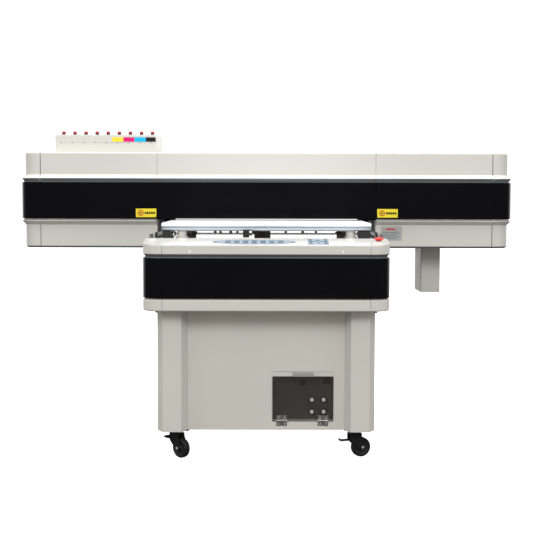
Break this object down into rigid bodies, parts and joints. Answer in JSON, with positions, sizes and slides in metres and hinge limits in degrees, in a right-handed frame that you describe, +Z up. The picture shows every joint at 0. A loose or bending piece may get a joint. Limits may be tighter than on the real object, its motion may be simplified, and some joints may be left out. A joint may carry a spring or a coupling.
{
  "type": "flatbed uv printer",
  "caption": "Free-standing flatbed UV printer: wheeled cabinet, fixed vacuum bed and a wide moving gantry with ink box, lift-up front lid and drop-down control door.",
  "frame": {"origin": "on the floor, at the centre of the overall box", "axes": "+X to the operator's right along the gantry, +Y from the operator to the back, +Z up"},
  "size_m": [2.26, 1.24, 1.357],
  "materials": {
    "powder_coat": "satin warm grey-beige powder coat",
    "black_gloss": "polished black acrylic",
    "frame_paint": "matt dark grey paint",
    "anodised": "satin anodised",
    "bed_face": "fine-blasted anodised",
    "caster_black": "gloss black enamel",
    "zinc": "zinc plated",
    "ground_steel": "ground",
    "belt_rubber": "matt",
    "tread": "matt",
    "black_plastic": "matt",
    "smoked_acrylic": "polished smoked acrylic",
    "signal_red": "gloss",
    "cap_red": "satin",
    "bright_steel": "polished",
    "knob_blue": "satin",
    "switch_red": "gloss",
    "keypad_face": "satin membrane"
  },
  "bodies": {
    "base": {"base_frame": "frame_paint", "bed_plate": "bed_face", "bed_edge_profiles": "anodised", "bed_posts": "powder_coat", "bed_fittings": "black_plastic", "button_bezels": "black_plastic", "cabinet_corner_posts": "powder_coat", "cabinet_equipment": "frame_paint", "cabinet_front_panel": "powder_coat", "cabinet_side_and_rear_panels": "powder_coat", "caster_plates": "caster_black", "console_and_deck": "powder_coat", "control_pocket": "frame_paint", "door_hinge_leaves": "zinc", "estop_collar": "black_plastic", "keypad_panel": "keypad_face", "side_latch_knobs": "black_plastic", "table_bands": "black_gloss", "table_shells": "powder_coat", "y_belts": "belt_rubber", "y_drive_mounts": "ground_steel", "y_rails": "ground_steel"},
    "gantry": {"gantry_frame": "frame_paint", "gantry_left_cover": "powder_coat", "gantry_right_cover": "powder_coat", "gantry_rear_cover": "powder_coat", "gantry_bands": "black_gloss", "x_rails": "ground_steel", "x_belt": "belt_rubber", "x_motor_and_pins": "ground_steel", "ink_tank_box": "powder_coat", "ink_caps": "cap_red", "waste_ink_box": "powder_coat"},
    "lid": {"front_lid": "powder_coat", "front_lid_band": "black_gloss"},
    "carriage": {"carriage_slide": "ground_steel"},
    "heads": {"print_head_block": "black_plastic"},
    "cap_station": {"capping_tray": "black_plastic"},
    "door": {"smoked_door": "smoked_acrylic", "door_hinge_straps": "zinc"},
    "estop": {"estop_button": "signal_red"},
    "regulator": {"vacuum_regulator_knob": "knob_blue"},
    "main_switch": {"main_switch_rocker": "switch_red"},
    "valve_lever": {"bed_valve_lever": "black_plastic"},
    "y_shaft": {"y_drive_shaft": "ground_steel"},
    "y_idlers": {"y_idler_pulleys": "ground_steel"},
    "x_pulley_driven": {"x_drive_pulley": "ground_steel"},
    "x_pulley_idle": {"x_idler_pulley": "ground_steel"},
    "button_1": {"zone_button_1": "bright_steel"},
    "button_2": {"zone_button_2": "bright_steel"},
    "button_3": {"zone_button_3": "bright_steel"},
    "button_4": {"zone_button_4": "bright_steel"},
    "fork_front_left": {"caster_fork_front_left": "caster_black"},
    "pedal_front_left": {"brake_pedal_front_left": "caster_black"},
    "fork_front_right": {"caster_fork_front_right": "caster_black"},
    "pedal_front_right": {"brake_pedal_front_right": "caster_black"},
    "wheel_front_left": {"caster_wheel_front_left": "tread"},
    "wheel_front_right": {"caster_wheel_front_right": "tread"},
    "wheel_rear_left": {"caster_wheel_rear_left": "tread"},
    "wheel_rear_right": {"caster_wheel_rear_right": "tread"}
  },
  "joints": [
    {"name": "gantry_travel", "type": "slide", "parent": "base", "child": "gantry", "axis": [0, 1, 0], "range_m": [-0.56, 0]},
    {"name": "carriage_travel", "type": "slide", "parent": "gantry", "child": "carriage", "axis": [1, 0, 0], "range_m": [-1.6, 0]},
    {"name": "head_lift", "type": "slide", "parent": "carriage", "child": "heads", "axis": [0, 0, 1], "range_m": [0, 0.045]},
    {"name": "cap_lift", "type": "slide", "parent": "gantry", "child": "cap_station", "axis": [0, 0, 1], "range_m": [0, 0.006]},
    {"name": "front_lid_hinge", "type": "hinge", "parent": "gantry", "child": "lid", "pos_m": [0, 0.33, 1.257], "axis": [-1, 0, 0], "range_deg": [0, 75]},
    {"name": "door_hinge", "type": "hinge", "parent": "base", "child": "door", "pos_m": [0.1485, -0.526, 0.1535], "axis": [1, 0, 0], "range_deg": [0, 100]},
    {"name": "estop_press", "type": "slide", "parent": "base", "child": "estop", "axis": [0, 0.1099, -0.9939], "range_m": [0, 0.005], "stiffness_N_per_m": 1200},
    {"name": "zone_button_1_press", "type": "slide", "parent": "base", "child": "button_1", "axis": [0, 1, 0], "range_m": [0, 0.003], "stiffness_N_per_m": 400},
    {"name": "zone_button_2_press", "type": "slide", "parent": "base", "child": "button_2", "axis": [0, 1, 0], "range_m": [0, 0.003], "stiffness_N_per_m": 400},
    {"name": "zone_button_3_press", "type": "slide", "parent": "base", "child": "button_3", "axis": [0, 1, 0], "range_m": [0, 0.003], "stiffness_N_per_m": 400},
    {"name": "zone_button_4_press", "type": "slide", "parent": "base", "child": "button_4", "axis": [0, 1, 0], "range_m": [0, 0.003], "stiffness_N_per_m": 400},
    {"name": "regulator_turn", "type": "hinge", "parent": "base", "child": "regulator", "pos_m": [0.1495, -0.482, 0.3035], "axis": [0, 1, 0], "range_deg": [-135, 135]},
    {"name": "main_switch_rock", "type": "hinge", "parent": "base", "child": "main_switch", "pos_m": [0.247, -0.481, 0.311], "axis": [1, 0, 0], "range_deg": [-7, 7]},
    {"name": "valve_turn", "type": "hinge", "parent": "base", "child": "valve_lever", "pos_m": [-0.084, -0.386, 0.899], "axis": [0, -1, 0], "range_deg": [0, 90]},
    {"name": "y_shaft_spin", "type": "hinge", "parent": "base", "child": "y_shaft", "pos_m": [0, 0.54, 0.8975], "axis": [1, 0, 0], "range_deg": [0, 3210]},
    {"name": "y_idler_spin", "type": "hinge", "parent": "base", "child": "y_idlers", "pos_m": [0, -0.4, 0.8975], "axis": [1, 0, 0], "range_deg": [0, 3210]},
    {"name": "x_drive_spin", "type": "hinge", "parent": "gantry", "child": "x_pulley_driven", "pos_m": [1.04, 0.405, 1.143], "axis": [0, 0, 1], "range_deg": [-4346, 0]},
    {"name": "x_idler_spin", "type": "hinge", "parent": "gantry", "child": "x_pulley_idle", "pos_m": [-1.04, 0.405, 1.143], "axis": [0, 0, 1], "range_deg": [-4346, 0]},
    {"name": "swivel_front_left", "type": "hinge", "parent": "base", "child": "fork_front_left", "pos_m": [-0.362, -0.498, 0.1], "axis": [0, 0, 1], "continuous": true},
    {"name": "brake_front_left", "type": "hinge", "parent": "fork_front_left", "child": "pedal_front_left", "pos_m": [-0.37402, -0.48598, 0.072], "axis": [-0.7071, -0.7071, 0], "range_deg": [0, 12]},
    {"name": "roll_front_left", "type": "hinge", "parent": "fork_front_left", "child": "wheel_front_left", "pos_m": [-0.34291, -0.51709, 0.04], "axis": [0.7071, 0.7071, 0], "continuous": true},
    {"name": "swivel_front_right", "type": "hinge", "parent": "base", "child": "fork_front_right", "pos_m": [0.36, -0.498, 0.1], "axis": [0, 0, 1], "continuous": true},
    {"name": "brake_front_right", "type": "hinge", "parent": "fork_front_right", "child": "pedal_front_right", "pos_m": [0.34403, -0.50381, 0.072], "axis": [0.342, -0.9397, 0], "range_deg": [0, 12]},
    {"name": "roll_front_right", "type": "hinge", "parent": "fork_front_right", "child": "wheel_front_right", "pos_m": [0.38537, -0.48877, 0.04], "axis": [-0.342, 0.9397, 0], "continuous": true},
    {"name": "roll_rear_left", "type": "hinge", "parent": "base", "child": "wheel_rear_left", "pos_m": [-0.362, 0.497, 0.04], "axis": [-1, 0, 0], "continuous": true},
    {"name": "roll_rear_right", "type": "hinge", "parent": "base", "child": "wheel_rear_right", "pos_m": [0.362, 0.497, 0.04], "axis": [-1, 0, 0], "continuous": true}
  ],
  "couplings": [
    {"joint": "y_shaft_spin", "follows": "gantry_travel", "rad_per_m": -100},
    {"joint": "y_idler_spin", "follows": "gantry_travel", "rad_per_m": -100},
    {"joint": "x_drive_spin", "follows": "carriage_travel", "rad_per_m": 47.393},
    {"joint": "x_idler_spin", "follows": "carriage_travel", "rad_per_m": 47.393}
  ]
}
